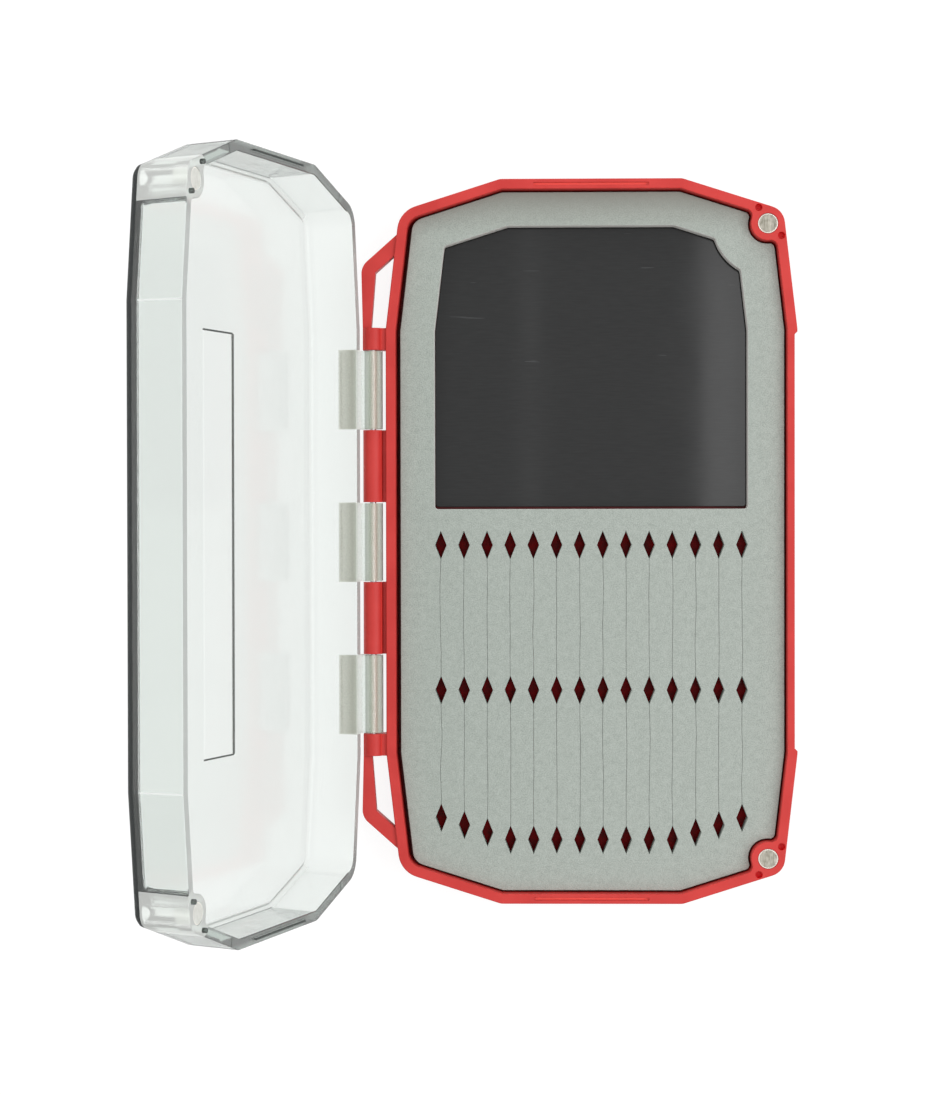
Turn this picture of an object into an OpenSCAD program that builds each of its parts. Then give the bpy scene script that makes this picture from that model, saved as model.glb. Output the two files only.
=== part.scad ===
// Slim pocket case for fishing flies. A coloured base tray holds a slotted foam pad and a
// magnetic sheet, and a clear deep lid turns on a pin along one long side. Four magnets in
// the far corners hold it shut.
// Lengths are in millimetres and angles in degrees. The origin is the middle of the base's
// underside, +Z is up, +X points from the hinge to the opening side, +Y runs along the hinge.

/* [Outline] */
// Length of the box along its hinge
body_len = 181; // [168:1:200]
// Width of the box across its hinge
body_w = 102.6; // [96:0.2:114]
// Length of the straight middle of each short side
short_flat = 45.4; // [38:0.2:52]
// Length of the straight middle of each long side
long_flat = 106; // [100:1:116]
// Distance of each corner from the end of the box
corner_back = 8; // [6:0.25:10]
// Distance that each corner stands in from the long side
corner_in = 3.45; // [2.5:0.05:4.5]
// Radius of the two corners beside the hinge
hinge_corner_r = 6.5; // [4:0.25:8]
// Radius of the two corners that hold the magnets
magnet_corner_r = 4.5; // [3.5:0.1:5.5]
// Radius that softens the shallow bends of the outline
bend_r = 3; // [1:0.25:5]
// Slope of the base's walls, so that it leaves its mould
base_draft = 1; // [0.5:0.25:1.25]
// Slope of the lid's walls
lid_draft = 2.5; // [1:0.25:4]

/* [Shells] */
// Height of the base tray
base_h = 10.4; // [10:0.1:13]
// Height of the lid
lid_h = 14.1; // [12:0.1:18]
// Width of the flat rim on the ends and the opening side
rim_w = 2.5; // [2.35:0.05:3.1]
// Width of the flat rim along the hinge side
hinge_rim_w = 2.45; // [2.3:0.05:2.8]
// Thickness of the base's floor
floor_t = 2.4; // [1.8:0.1:3]
// Thickness of the lid's top panel
panel_t = 2.1; // [1.6:0.1:2.6]
// Radius of the outer edge round the floor and round the top panel
edge_r = 2; // [1:0.1:2.8]
// Radius inside, where the base's walls meet its floor
floor_r = 0.3; // [0.2:0.05:0.35]
// Radius inside, where the lid's walls meet its top panel
panel_r = 1.4; // [0.6:0.1:1.8]
// Bevel on the edges of both rims
rim_bevel = 0.15; // [0.1:0.05:0.4]
// Gap between the two rims when the box is shut
parting_gap = 0.2; // [0.1:0.05:0.4]
// Length of the finger recess in the opening side of the base
finger_len = 104.6; // [80:0.5:118]
// Depth of the finger recess
finger_depth = 0.7; // [0.4:0.05:1]
// Length of the plain sunk field in the lid's top panel
field_len = 98; // [70:1:110]
// Width of the sunk field
field_w = 15.7; // [10:0.1:24]
// Distance of the sunk field from the middle of the lid, towards the opening side
field_shift = 5.4; // [0:0.2:12]
// Depth of the sunk field
field_depth = 0.45; // [0.2:0.05:0.7]
// Width of the sloping edge round the sunk field
field_edge_w = 0.35; // [0.1:0.05:0.6]

/* [Lid register] */
// Length of the fine ridge along the middle of the lid's rim on each short side
ridge_len = 28.4; // [18:0.2:34]
// Width of the ridge
ridge_w = 0.45; // [0.35:0.05:0.7]
// Height of the ridge
ridge_h = 0.6; // [0.4:0.05:0.8]
// Clearance of the ridge in the groove of the base's rim
ridge_clear = 0.12; // [0.08:0.02:0.2]
// Width of the fine notches across the lid's rim
vent_w = 0.35; // [0.25:0.05:0.6]
// Depth of the fine notches
vent_depth = 0.2; // [0.1:0.05:0.4]
// Distance of the notches near the opening side from the middle of the lid
vent_near_x = 27; // [24:0.5:32]
// Distance of the notches near the hinge from the middle of the lid
vent_far_x = 38; // [34:0.5:40]

/* [Magnets] */
// Diameter of each disc magnet
magnet_d = 5; // [4:0.1:5.4]
// Length of each disc magnet
magnet_len = 4; // [2:0.25:5]
// Distance of the magnets from the opening side
magnet_in_x = 7.3; // [7:0.05:8]
// Distance of the magnets from the ends of the box
magnet_in_y = 11.3; // [11:0.05:12]
// Wall of the boss round each magnet
boss_wall = 1.75; // [1.4:0.05:2]
// Radius where a boss blends into the walls
boss_blend = 1.7; // [0.8:0.1:2.2]
// Glue gap round each magnet
magnet_clear = 0.05; // [0.02:0.01:0.15]
// Distance that each magnet's face lies below the rim
magnet_sink = 0.1; // [0.05:0.05:0.3]
// Diameter of the coring hole behind each lid magnet
core_d = 4.4; // [3:0.1:4.8]
// Diameter of the locating holes in the base's rim
locate_d = 1.8; // [1.4:0.05:2]
// Depth of the locating holes
locate_depth = 2; // [1.5:0.1:3]
// Clearance of the lid's locating pegs in their holes
locate_clear = 0.3; // [0.2:0.05:0.4]
// Length of the locating pegs
peg_len = 1; // [0.6:0.1:1.3]
// Distance of the locating holes from the magnet, along the wall
locate_along = 3.4; // [3.3:0.05:3.8]

/* [Hinge] */
// Distance of the pin's axis outside the base's wall
hinge_out = 3.3; // [3.1:0.05:3.8]
// Distance of the pin's axis below the base's rim
hinge_drop = 1.95; // [1.6:0.05:2.4]
// Diameter of the knuckles
knuckle_d = 4.9; // [4.2:0.1:5.2]
// Diameter of the hinge pin
pin_d = 1.6; // [1.2:0.1:2]
// Running clearance of the lid's knuckles round the pin
pin_clear = 0.05; // [0.03:0.01:0.1]
// Length of each knuckle on the lid
lid_knuckle_len = 19.4; // [14:0.2:24]
// Spacing of the lid's three knuckles
knuckle_pitch = 38; // [34:0.5:39]
// Gap between neighbouring knuckles
knuckle_gap = 0.3; // [0.2:0.05:0.5]
// Length of the base's two end knuckles
end_knuckle_len = 5.5; // [4:0.25:7]
// Height that the lid's hinge arms climb up its wall
arm_h = 5; // [3:0.25:7]
// Height of the base's hinge webs below the pin's axis
web_h = 5; // [3:0.25:6]
// Angle at which the lid stands open
lid_open = 108; // [0:1:134]

/* [Lanyard loops] */
// Distance that the loops stand out from the hinge side
loop_out = 6.1; // [5.85:0.05:6.2]
// Distance from an end knuckle to where its loop's bar turns in
loop_len = 15.4; // [12:0.2:17]
// Distance over which the loop's bar runs back to the wall
loop_nose = 8.9; // [7:0.1:10]
// Width of the loop's bar beside the end knuckle
loop_bar = 2.1; // [1.8:0.1:3]
// Width of the loop's bar at its nose
loop_nose_bar = 3.5; // [2.8:0.1:4]
// Height of the loop's bar
loop_h = 4.2; // [3:0.1:5]
// Distance of the loop's top below the base's rim
loop_drop = 0.9; // [0.6:0.05:1.4]
// Radius of the loop's outer bend
loop_r = 4; // [2:0.25:6]

/* [Foam pad] */
// Thickness of the foam
foam_t = 5.2; // [4:0.1:6]
// Gap between the foam and the walls of the ends and of the opening side
foam_gap = 0.55; // [0.25:0.05:1]
// Gap between the foam and the wall of the hinge side
foam_hinge_gap = 1.1; // [0.25:0.05:1.3]
// Thickness of the adhesive films under the foam and under the sheet
film_t = 0.15; // [0.1:0.05:0.3]
// Distance that the edge of the foam's film lies inside the edge of the foam
film_in = 0.5; // [0.4:0.1:1]
// Number of slit columns
slit_count = 14; // [8:1:15]
// Spacing of the slit columns
slit_pitch = 5.8; // [5:0.1:6]
// Width of each slit
slit_w = 0.3; // [0.2:0.05:0.5]
// Depth of each slit
slit_depth = 3.6; // [2:0.1:3.8]
// Width of the diamond holes at the ends of the slits
diamond_w = 2.9; // [2:0.1:3.6]
// Length of the diamond holes
diamond_len = 7.15; // [5:0.05:8]
// Distance of the first row of diamonds from the window
first_row_in = 9; // [7:0.25:11]
// Distance from the first row of diamonds to the second
row_step = 36.4; // [30:0.2:40]
// Distance of the last row of diamonds from the end of the box
last_row_in = 15.7; // [13:0.1:18]

/* [Magnetic sheet] */
// Distance of the foam's window from the outline of the box
window_in = 12.1; // [11:0.1:14]
// Distance that the window's round end is set on towards the end of the box
window_shift = 0.7; // [0:0.1:1.5]
// Distance of the window's straight edge from the middle of the box
window_edge = 8.2; // [4:0.2:14]
// Distance of the window's edge from the nearest magnet's axis
window_lobe_r = 13.6; // [11:0.1:15]
// Radius of the window's corners
window_r = 0.8; // [0.4:0.1:1.5]
// Gap between the sheet and the foam round it
sheet_gap = 0.12; // [0.1:0.02:0.5]
// Gap between the sheet and the straight edge of the foam's window
sheet_edge_gap = 0.6; // [0.1:0.05:0.8]
// Thickness of the magnetic sheet
sheet_t = 0.9; // [0.6:0.1:1.5]

/* [Hidden] */
$fn = 48;
BASE_COLOUR = [0.86, 0.27, 0.25];
LID_COLOUR = [0.86, 0.89, 0.86, 0.4];
STEEL_COLOUR = [0.72, 0.72, 0.73];
MAGNET_COLOUR = [0.78, 0.77, 0.74];
FOAM_COLOUR = [0.66, 0.69, 0.66];
FILM_COLOUR = [0.85, 0.8, 0.65];
SHEET_COLOUR = [0.21, 0.21, 0.22];
// Overlap of pieces that are fused into one solid, and reach of cuts past a face
FUSE = 1;
BASE_SLOPE = tan(base_draft);
LID_SLOPE = tan(lid_draft);
HALF_LEN = body_len / 2;
HALF_W = body_w / 2;
CORNER_X = HALF_W - corner_in;
CORNER_Y = HALF_LEN - corner_back;
// The lid is drawn shut, so its rim lies just above the base's
LID_RIM_Z = base_h + parting_gap;
LID_TOP_Z = LID_RIM_Z + lid_h;
AXIS_X = -HALF_W - hinge_out;
AXIS_Z = base_h - hinge_drop;
KNUCKLE_R = knuckle_d / 2;
MAGNET_R = magnet_d / 2;
MAGNET_X = HALF_W - magnet_in_x;
MAGNET_Y = HALF_LEN - magnet_in_y;
POLE = [MAGNET_X, MAGNET_Y];
BOSS_R = MAGNET_R + boss_wall;
PEG_D = locate_d - 2 * locate_clear;
RED_KNUCKLE_LEN = knuckle_pitch - lid_knuckle_len - 2 * knuckle_gap;
END_KNUCKLE_Y = knuckle_pitch + lid_knuckle_len / 2 + knuckle_gap;
HINGE_END_Y = END_KNUCKLE_Y + end_knuckle_len;
FOAM_Z = floor_t + film_t;
FIRST_ROW_Y = window_edge - first_row_in;
SECOND_ROW_Y = FIRST_ROW_Y - row_step;
// Steps in which the outline's round corners, its shallow bends and the bosses are drawn
CORNER_STEPS = 7;
BEND_STEPS = 2;
BOSS_STEPS = 10;
EDGE_STEP = 30;
// Least radius that a corner keeps when it is offset inwards
LEAST_R = 0.3;
// How much the outline's ends fall back towards the long sides, for each millimetre across
END_FALL = corner_back / (CORNER_X - short_flat / 2);
// How much its long sides lean in towards the ends, for each millimetre along
SIDE_LEAN = corner_in / (CORNER_Y - long_flat / 2);

// The outline's corners, anticlockwise from the lower bend of the hinge side
OUTLINE = [
  [-HALF_W, -long_flat / 2], [-CORNER_X, -CORNER_Y], [-short_flat / 2, -HALF_LEN],
  [short_flat / 2, -HALF_LEN], [CORNER_X, -CORNER_Y], [HALF_W, -long_flat / 2],
  [HALF_W, long_flat / 2], [CORNER_X, CORNER_Y], [short_flat / 2, HALF_LEN],
  [-short_flat / 2, HALF_LEN], [-CORNER_X, CORNER_Y], [-HALF_W, long_flat / 2]
];
SIDES = len(OUTLINE);
HINGE_SIDES = [0, 10, 11];
HINGE_CORNERS = [1, 10];
LOWER_MAGNET_CORNER = 4;
UPPER_MAGNET_CORNER = 7;
MAGNET_CORNERS = [LOWER_MAGNET_CORNER, UPPER_MAGNET_CORNER];

function in_list(item, list) = len([for (entry = list) if (entry == item) entry]) > 0;
function unit(v) = v / norm(v);
function left_of(v) = [-v.y, v.x];
function cross_of(a, b) = a.x * b.y - a.y * b.x;
function bearing(v) = atan2(v.y, v.x);
function turn(from, to) = (to - from + 540) % 360 - 180;

// Where the line through p along d crosses the line through q along e
function meet(p, d, q, e) = p + d * cross_of(q - p, e) / cross_of(d, e);

function arc(centre, r, from, sweep, steps) =
  [for (k = [0 : steps]) centre + r * [cos(from + sweep * k / steps), sin(from + sweep * k / steps)]];

// The arc that rounds the corner at a point, between the points before and after it
function corner(before, at, after, r, steps) =
  let (
    a = unit(before - at),
    b = unit(after - at),
    half = acos(a * b) / 2,
    reach = r / tan(half),
    centre = at + unit(a + b) * r / sin(half),
    from = bearing(at + a * reach - centre),
    to = bearing(at + b * reach - centre)
  )
  arc(centre, r, from, turn(from, to), steps);

function edge_dir(i) = unit(OUTLINE[(i + 1) % SIDES] - OUTLINE[i]);
function edge_point(i, inset) = OUTLINE[i] + left_of(edge_dir(i)) * inset;
function edge_before(i) = (i + SIDES - 1) % SIDES;

// The outline's corners moved in, with an inset of its own along the hinge side
function inset_corners(side, rest) =
  [for (i = [0 : SIDES - 1])
    let (
      j = edge_before(i),
      in_i = in_list(i, HINGE_SIDES) ? side : rest,
      in_j = in_list(j, HINGE_SIDES) ? side : rest
    )
    meet(edge_point(j, in_j), edge_dir(j), edge_point(i, in_i), edge_dir(i))];

function corner_r(i, inset) =
  max(LEAST_R, (in_list(i, HINGE_CORNERS) ? hinge_corner_r :
    in_list(i, MAGNET_CORNERS) ? magnet_corner_r : bend_r) - inset);

function corner_steps(i) =
  in_list(i, HINGE_CORNERS) || in_list(i, MAGNET_CORNERS) ? CORNER_STEPS : BEND_STEPS;

// Centre of the arc that blends an inset side into the round boss at a pole
function blend_centre(i, inset, pole, boss_r, blend_r, way) =
  let (
    depth = left_of(edge_dir(i)) * (pole - edge_point(i, inset)),
    across = blend_r - depth,
    along = sqrt(pow(boss_r + blend_r, 2) - pow(across, 2))
  )
  pole + left_of(edge_dir(i)) * across + edge_dir(i) * along * way;

// The way round the inside of a magnet boss: blend, boss, blend
function boss_corner(i, inset, pole, boss_r, blend_r) =
  let (
    j = edge_before(i),
    a = blend_centre(j, inset, pole, boss_r, blend_r, -1),
    b = blend_centre(i, inset, pole, boss_r, blend_r, 1),
    a_from = bearing(-left_of(edge_dir(j))),
    b_from = bearing(pole - b),
    boss_from = bearing(a - pole),
    boss_sweep = turn(boss_from, bearing(b - pole)),
    boss = arc(pole, boss_r, boss_from, boss_sweep, BOSS_STEPS)
  )
  concat(
    arc(a, blend_r, a_from, turn(a_from, bearing(pole - a)), CORNER_STEPS),
    [for (k = [1 : BOSS_STEPS - 1]) boss[k]],
    arc(b, blend_r, b_from, turn(b_from, bearing(-left_of(edge_dir(i)))), CORNER_STEPS)
  );

// Distance of the outline's end from the middle of the box, at a distance across it
function sloped_end_y(x) = HALF_LEN - END_FALL * (abs(x) - short_flat / 2);
function end_y(x) = min(HALF_LEN, sloped_end_y(x));

function pole_of(i) = i == LOWER_MAGNET_CORNER ? [POLE.x, -POLE.y] : POLE;

// A closed line inside the outline, which goes round a boss at each corner in bossed
function ring(side, rest, bossed, boss_r, blend_r) =
  let (at = inset_corners(side, rest))
  [for (i = [0 : SIDES - 1])
    each (in_list(i, bossed)
      ? boss_corner(i, rest, pole_of(i), boss_r, max(LEAST_R, blend_r))
      : corner(at[edge_before(i)], at[i], at[(i + 1) % SIDES], corner_r(i, rest), corner_steps(i)))];

function outer_ring(inset) = ring(inset, inset, [], 0, 0);
function cavity_ring(hinge_gap, gap) =
  ring(hinge_rim_w + hinge_gap, rim_w + gap, MAGNET_CORNERS, BOSS_R + gap, boss_blend - gap);
function window_ring(gap) =
  ring(window_in + gap, window_in + gap, [UPPER_MAGNET_CORNER], window_lobe_r + gap, window_r);

// Heights and insets of the rings up a shell's outer face, from its closed side to its rim
function outer_levels(h, slope) = [
  for (a = [0 : EDGE_STEP : 90])
    let (z = edge_r * (1 - cos(a))) [z, edge_r * (1 - sin(a)) + slope * (h - z)],
  [h - rim_bevel, slope * rim_bevel],
  [h, rim_bevel]
];

// The same for a shell's hollow, which is cut past the rim
function cavity_levels(h, slope, bottom, r) = [
  for (a = [0 : EDGE_STEP : 90])
    let (z = bottom + r * (1 - cos(a))) [z, r * (1 - sin(a)) + slope * (h - z)],
  [h - rim_bevel, 0],
  [h + FUSE, -rim_bevel - FUSE]
];

// Solid skinned over closed rings of equally many points, one above the other
module loft(rings, heights) {
  n = len(rings[0]);
  top = len(rings) - 1;
  points = [for (j = [0 : top]) for (p = rings[j]) [p.x, p.y, heights[j]]];
  walls = [
    for (j = [0 : top - 1], k = [0 : n - 1])
      let (a = j * n + k, b = j * n + (k + 1) % n)
      each [[a, a + n, b + n], [a, b + n, b]]
  ];
  caps = [[for (k = [0 : n - 1]) k], [for (k = [n - 1 : -1 : 0]) top * n + k]];
  polyhedron(points = points, faces = concat(walls, caps), convexity = 6);
}

// Open tray with sloping walls, soft edges and a boss in each magnet corner
module tray(h, slope, bottom, r) {
  outer = outer_levels(h, slope);
  inner = cavity_levels(h, slope, bottom, r);
  difference() {
    loft([for (level = outer) outer_ring(level[1])], [for (level = outer) level[0]]);
    loft([for (level = inner) cavity_ring(level[1], level[1])], [for (level = inner) level[0]]);
  }
}

// Children at both magnets, the lower one as the mirror image of the upper
module both_ends() {
  children();
  mirror([0, 1, 0]) children();
}

module at_magnet(z) {
  translate([MAGNET_X, MAGNET_Y, z]) children();
}

// A spot on the middle of the rim, at a distance along a side from the upper magnet
function rim_spot(i, along) =
  let (inward = left_of(edge_dir(i)))
  POLE - inward * (inward * (POLE - edge_point(i, rim_w / 2))) + edge_dir(i) * along;

module at_locating_spots(z) {
  for (spot = [rim_spot(edge_before(UPPER_MAGNET_CORNER), -locate_along),
      rim_spot(UPPER_MAGNET_CORNER, locate_along)])
    translate([spot.x, spot.y, z]) children();
}

// The middle of the rim on the short side at the +Y end
module on_short_rim(z) {
  translate([0, HALF_LEN - rim_w / 2, z]) children();
}

// Bar along the middle of a short side's rim: the lid's ridge, or its groove in the base
module rim_bar(clear, h) {
  size = [ridge_len + 2 * clear, ridge_w + 2 * clear, h];
  translate([-size.x / 2, -size.y / 2, 0]) cube(size);
}

// Extrudes a profile drawn in X and Z along Y, about the middle at y
module along_hinge(y, length) {
  translate([0, y + length / 2, 0]) rotate([90, 0, 0]) linear_extrude(length) children();
}

module knuckle(y, length) {
  along_hinge(y, length) translate([AXIS_X, AXIS_Z]) circle(r = KNUCKLE_R);
}

// Web that carries a knuckle of the base from the wall below it
module base_web(y, length) {
  along_hinge(y, length) polygon([
    [AXIS_X - KNUCKLE_R, AXIS_Z], [AXIS_X - KNUCKLE_R, AXIS_Z - KNUCKLE_R / 2],
    [-HALF_W + FUSE, AXIS_Z - web_h], [-HALF_W + FUSE, AXIS_Z]
  ]);
}

// Arm that carries a knuckle of the lid from its wall, drawn with the lid shut
module lid_arm(y, length) {
  along_hinge(y, length) polygon([
    [AXIS_X - KNUCKLE_R, AXIS_Z], [AXIS_X + KNUCKLE_R, AXIS_Z],
    [AXIS_X + KNUCKLE_R, LID_RIM_Z], [-HALF_W + FUSE, LID_RIM_Z],
    [-HALF_W + FUSE, LID_RIM_Z + arm_h], [-HALF_W - KNUCKLE_R / 2, LID_RIM_Z + arm_h],
    [AXIS_X - KNUCKLE_R, LID_RIM_Z + KNUCKLE_R / 2]
  ]);
}

// Bar of a lanyard loop, seen from above, from the end knuckle to the wall past the bend
module lanyard_loop() {
  knuckle_face = AXIS_X - KNUCKLE_R;
  bend = [-HALF_W - loop_out, HINGE_END_Y + loop_len];
  near = [knuckle_face, HINGE_END_Y];
  wall_x = -HALF_W + FUSE;
  far_y = bend.y + loop_nose;
  far = [wall_x + SIDE_LEAN * (far_y - long_flat / 2), far_y];
  inner_bend = meet(
    near + [loop_nose_bar, 0], bend - near,
    bend + left_of(unit(bend - far)) * loop_nose_bar, far - bend
  );
  translate([0, 0, base_h - loop_drop - loop_h]) linear_extrude(loop_h) difference() {
    polygon([
      [wall_x, END_KNUCKLE_Y], [wall_x, HINGE_END_Y], far,
      each corner(far, bend, near, loop_r, CORNER_STEPS),
      near, [knuckle_face, END_KNUCKLE_Y]
    ]);
    polygon([
      near + [loop_bar, 0], inner_bend, inner_bend + (far - bend),
      [-HALF_W + FUSE / 2, HINGE_END_Y]
    ]);
  }
}

// Shallow recess that lets a finger catch the lid's rim
module finger_recess() {
  low = finger_len / 2;
  translate([0, 0, -FUSE]) linear_extrude(base_h + 2 * FUSE) polygon([
    [HALF_W - finger_depth, -low + finger_depth], [HALF_W + FUSE, -low - FUSE],
    [HALF_W + FUSE, low + FUSE], [HALF_W - finger_depth, low - finger_depth]
  ]);
}

module pin_bore(r, from, to) {
  along_hinge((from + to) / 2, to - from) translate([AXIS_X, AXIS_Z]) circle(r = r);
}

module base_shell() {
  color(BASE_COLOUR) difference() {
    union() {
      difference() {
        tray(base_h, BASE_SLOPE, floor_t, floor_r);
        finger_recess();
      }
      for (side = [-1, 1]) {
        knuckle(side * knuckle_pitch / 2, RED_KNUCKLE_LEN);
        base_web(side * knuckle_pitch / 2, RED_KNUCKLE_LEN);
        knuckle(side * (HINGE_END_Y + END_KNUCKLE_Y) / 2, end_knuckle_len);
        base_web(side * (HINGE_END_Y + END_KNUCKLE_Y) / 2, end_knuckle_len);
      }
      both_ends() lanyard_loop();
    }
    both_ends() {
      at_magnet(base_h - magnet_sink - magnet_len)
        cylinder(r = MAGNET_R + magnet_clear, h = magnet_len + FUSE);
      at_locating_spots(base_h - locate_depth) cylinder(d = locate_d, h = locate_depth + FUSE);
      on_short_rim(base_h - ridge_h - ridge_clear)
        rim_bar(ridge_clear, ridge_h + ridge_clear + FUSE);
    }
    pin_bore(pin_d / 2, -HINGE_END_Y - loop_len, HINGE_END_Y);
  }
}

module hinge_pin() {
  color(STEEL_COLOUR) pin_bore(pin_d / 2, -HINGE_END_Y, HINGE_END_Y - end_knuckle_len / 4);
}

module lid_vent(x) {
  translate([x, end_y(x), LID_RIM_Z - FUSE]) rotate([0, 0, -sign(x) * atan(END_FALL)])
    translate([-vent_w / 2, -2 * rim_w, 0]) cube([vent_w, 3 * rim_w, FUSE + vent_depth]);
}

// A rectangle round the sunk field, and the field cut down from the lid's top
function field_ring(grow) =
  let (a = field_w / 2 + grow, b = field_len / 2 + grow)
  [for (c = [[-a, -b], [a, -b], [a, b], [-a, b]]) c + [field_shift, 0]];

module sunk_field() {
  loft(
    [field_ring(0), field_ring(field_edge_w), field_ring(field_edge_w)],
    [LID_TOP_Z - field_depth, LID_TOP_Z, LID_TOP_Z + FUSE]
  );
}

// The lid as it lies when shut
module shut_lid() {
  difference() {
    union() {
      translate([0, 0, LID_TOP_Z]) mirror([0, 0, 1]) tray(lid_h, LID_SLOPE, panel_t, panel_r);
      for (k = [-1 : 1]) {
        knuckle(k * knuckle_pitch, lid_knuckle_len);
        lid_arm(k * knuckle_pitch, lid_knuckle_len);
      }
      both_ends() {
        on_short_rim(LID_RIM_Z - ridge_h) rim_bar(0, ridge_h + FUSE);
        at_locating_spots(LID_RIM_Z - peg_len) cylinder(d = PEG_D, h = peg_len + FUSE);
      }
    }
    both_ends() {
      at_magnet(LID_RIM_Z - FUSE)
        cylinder(r = MAGNET_R + magnet_clear, h = FUSE + magnet_sink + magnet_len);
      at_magnet(LID_RIM_Z) cylinder(d = core_d, h = lid_h - panel_t);
      lid_vent(vent_near_x);
      lid_vent(-vent_far_x);
    }
    sunk_field();
    pin_bore(pin_d / 2 + pin_clear, -HINGE_END_Y, HINGE_END_Y);
  }
}

// Turns what is drawn shut about the hinge pin, to where the lid stands open
module opened() {
  translate([AXIS_X, 0, AXIS_Z]) rotate([0, -lid_open, 0]) translate([-AXIS_X, 0, -AXIS_Z])
    children();
}

module lid_shell() {
  color(LID_COLOUR) opened() shut_lid();
}

function column_x(k) = (k - (slit_count - 1) / 2) * slit_pitch;

// The last row keeps its distance from the end of the box and from the slopes beside it
function last_row_y(x) =
  max(last_row_in - HALF_LEN, last_row_in / cos(atan(END_FALL)) - sloped_end_y(x));

module diamond(x, y) {
  translate([x, y]) polygon([
    [0, diamond_len / 2], [-diamond_w / 2, 0], [0, -diamond_len / 2], [diamond_w / 2, 0]
  ]);
}

module diamonds() {
  for (k = [0 : slit_count - 1]) {
    x = column_x(k);
    diamond(x, FIRST_ROW_Y);
    diamond(x, SECOND_ROW_Y);
    diamond(x, last_row_y(x));
  }
}

// The window's shape above its straight edge, with a gap of its own there
module window_shape(gap, edge_gap) {
  offset(r = window_r) offset(delta = -window_r) intersection() {
    translate([0, window_shift]) polygon(window_ring(gap));
    translate([-HALF_W, window_edge + edge_gap]) square([body_w, HALF_LEN]);
  }
}

module sheet_shape() {
  window_shape(sheet_gap, sheet_edge_gap);
}

// Outline of the foam with its window, or of the film inside it
module foam_shape(inset) {
  difference() {
    polygon(cavity_ring(foam_hinge_gap + inset, foam_gap + inset));
    window_shape(-inset, -inset);
  }
}

module slit(x, from, to) {
  translate([x - slit_w / 2, to, FOAM_Z + foam_t - slit_depth])
    cube([slit_w, from - to, slit_depth + FUSE]);
}

module foam_pad() {
  tip = diamond_len / 2 - diamond_w / 4;
  color(FOAM_COLOUR) difference() {
    translate([0, 0, FOAM_Z]) linear_extrude(foam_t) difference() {
      foam_shape(0);
      diamonds();
    }
    for (k = [0 : slit_count - 1]) {
      x = column_x(k);
      slit(x, FIRST_ROW_Y - tip, SECOND_ROW_Y + tip);
      slit(x, SECOND_ROW_Y - tip, last_row_y(x) + tip);
    }
  }
}

module foam_film() {
  color(FILM_COLOUR) translate([0, 0, floor_t]) linear_extrude(film_t) foam_shape(film_in);
}

module magnetic_sheet() {
  color(SHEET_COLOUR) translate([0, 0, FOAM_Z]) linear_extrude(sheet_t) sheet_shape();
}

module sheet_film() {
  color(FILM_COLOUR) translate([0, 0, floor_t]) linear_extrude(film_t) sheet_shape();
}

module upper_base_magnet() {
  color(MAGNET_COLOUR) at_magnet(base_h - magnet_sink - magnet_len)
    cylinder(r = MAGNET_R, h = magnet_len);
}

module lower_base_magnet() {
  mirror([0, 1, 0]) upper_base_magnet();
}

module upper_lid_magnet() {
  color(MAGNET_COLOUR) opened() at_magnet(LID_RIM_Z + magnet_sink)
    cylinder(r = MAGNET_R, h = magnet_len);
}

module lower_lid_magnet() {
  mirror([0, 1, 0]) upper_lid_magnet();
}

base_shell();
lid_shell();
hinge_pin();
foam_pad();
foam_film();
magnetic_sheet();
sheet_film();
upper_base_magnet();
lower_base_magnet();
upper_lid_magnet();
lower_lid_magnet();
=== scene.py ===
"""Looks of the fly box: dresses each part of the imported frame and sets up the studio.

The panel in the 3D view's sidebar has a button for each piece. Run as a script, the file presses
them all in turn.
"""

from math import radians

import bmesh
import bpy
from mathutils import Matrix, Vector, noise


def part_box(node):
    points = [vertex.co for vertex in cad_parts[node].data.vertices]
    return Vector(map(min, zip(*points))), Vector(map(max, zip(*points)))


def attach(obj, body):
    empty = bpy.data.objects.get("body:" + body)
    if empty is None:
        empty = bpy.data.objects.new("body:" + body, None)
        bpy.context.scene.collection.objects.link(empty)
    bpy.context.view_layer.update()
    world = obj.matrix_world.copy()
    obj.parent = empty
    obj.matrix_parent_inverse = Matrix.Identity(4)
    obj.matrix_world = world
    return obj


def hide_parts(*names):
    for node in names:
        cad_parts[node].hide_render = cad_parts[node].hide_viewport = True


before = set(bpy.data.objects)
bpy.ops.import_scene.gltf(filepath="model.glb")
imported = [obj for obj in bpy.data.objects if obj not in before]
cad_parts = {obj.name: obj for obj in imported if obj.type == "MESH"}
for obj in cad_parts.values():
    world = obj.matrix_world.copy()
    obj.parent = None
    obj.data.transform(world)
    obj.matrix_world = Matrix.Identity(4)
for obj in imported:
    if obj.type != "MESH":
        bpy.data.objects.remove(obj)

bl_info = {
    "name": "Fly box",
    "version": (1, 0, 0),
    "blender": (4, 5, 0),
    "location": "View3D > Sidebar > Fly box",
    "description": "Dresses the parts of a clear-lidded fly box and sets up its studio",
    "category": "Add Mesh",
}

MM = 0.001

# The materials find the zones of a piece by these places, which are the CAD's at rest.
# The tray: top of its floor, bottom of the groove in its rim, and the holes for the lid's pegs.
FLOOR_HEIGHT = 2.4 * MM
GROOVE_HEIGHT = 9.68 * MM
HOLE_MOUTH = 10.36 * MM
HOLE_RADIUS = 1.0 * MM
LOCATING_HOLES = ((41.69 * MM, 83.15 * MM, 0), (47.33 * MM, 76.17 * MM, 0))

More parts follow.
